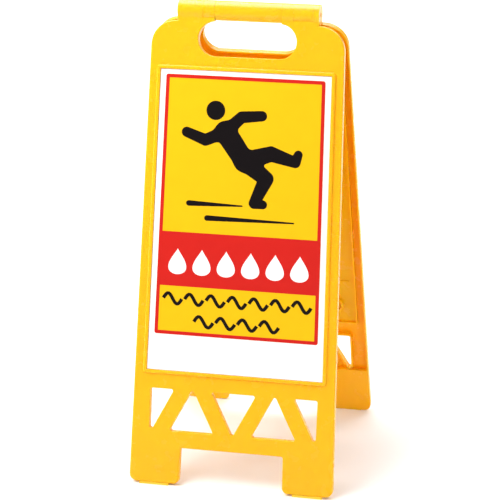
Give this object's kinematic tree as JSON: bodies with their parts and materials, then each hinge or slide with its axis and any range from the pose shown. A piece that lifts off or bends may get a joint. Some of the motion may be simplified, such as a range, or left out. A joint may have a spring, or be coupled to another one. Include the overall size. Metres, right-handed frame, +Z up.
{
  "type": "folding floor sign",
  "caption": "Folding A-frame floor sign with two tapered leaves, a round grip bar as the hinge, hand slots, lattice windows and printed plates in raised frames.",
  "frame": {"origin": "centre of the footprint, on the floor, with the sign standing open", "axes": "+Z up, +X along the hinge bar to the right seen from the front leaf, -Y out of the front leaf's printed face"},
  "size_m": [0.2864, 0.3138, 0.6497],
  "materials": {
    "yellow_plastic": "satin moulded plastic",
    "plate_white": "smooth white sheet",
    "label_film": "printed film, gloss",
    "pad_yellow": "soft, matt",
    "pin_steel": "drawn steel"
  },
  "bodies": {
    "front": {"front_leaf": "yellow_plastic", "hinge_pin_left": "pin_steel", "hinge_pin_right": "pin_steel", "handle_grip": "yellow_plastic", "grip_closure": "yellow_plastic", "front_plate": "plate_white", "front_label": "label_film", "foot_pad_front_left": "pad_yellow", "foot_pad_front_right": "pad_yellow"},
    "rear": {"rear_leaf": "yellow_plastic", "rear_plate": "plate_white", "rear_label": "label_film", "foot_pad_rear_left": "pad_yellow", "foot_pad_rear_right": "pad_yellow"}
  },
  "joints": [
    {"name": "fold", "type": "hinge", "parent": "front", "child": "rear", "pos_m": [0, 0, 0.63622], "axis": [-1, 0, 0], "range_deg": [0, 26]}
  ]
}
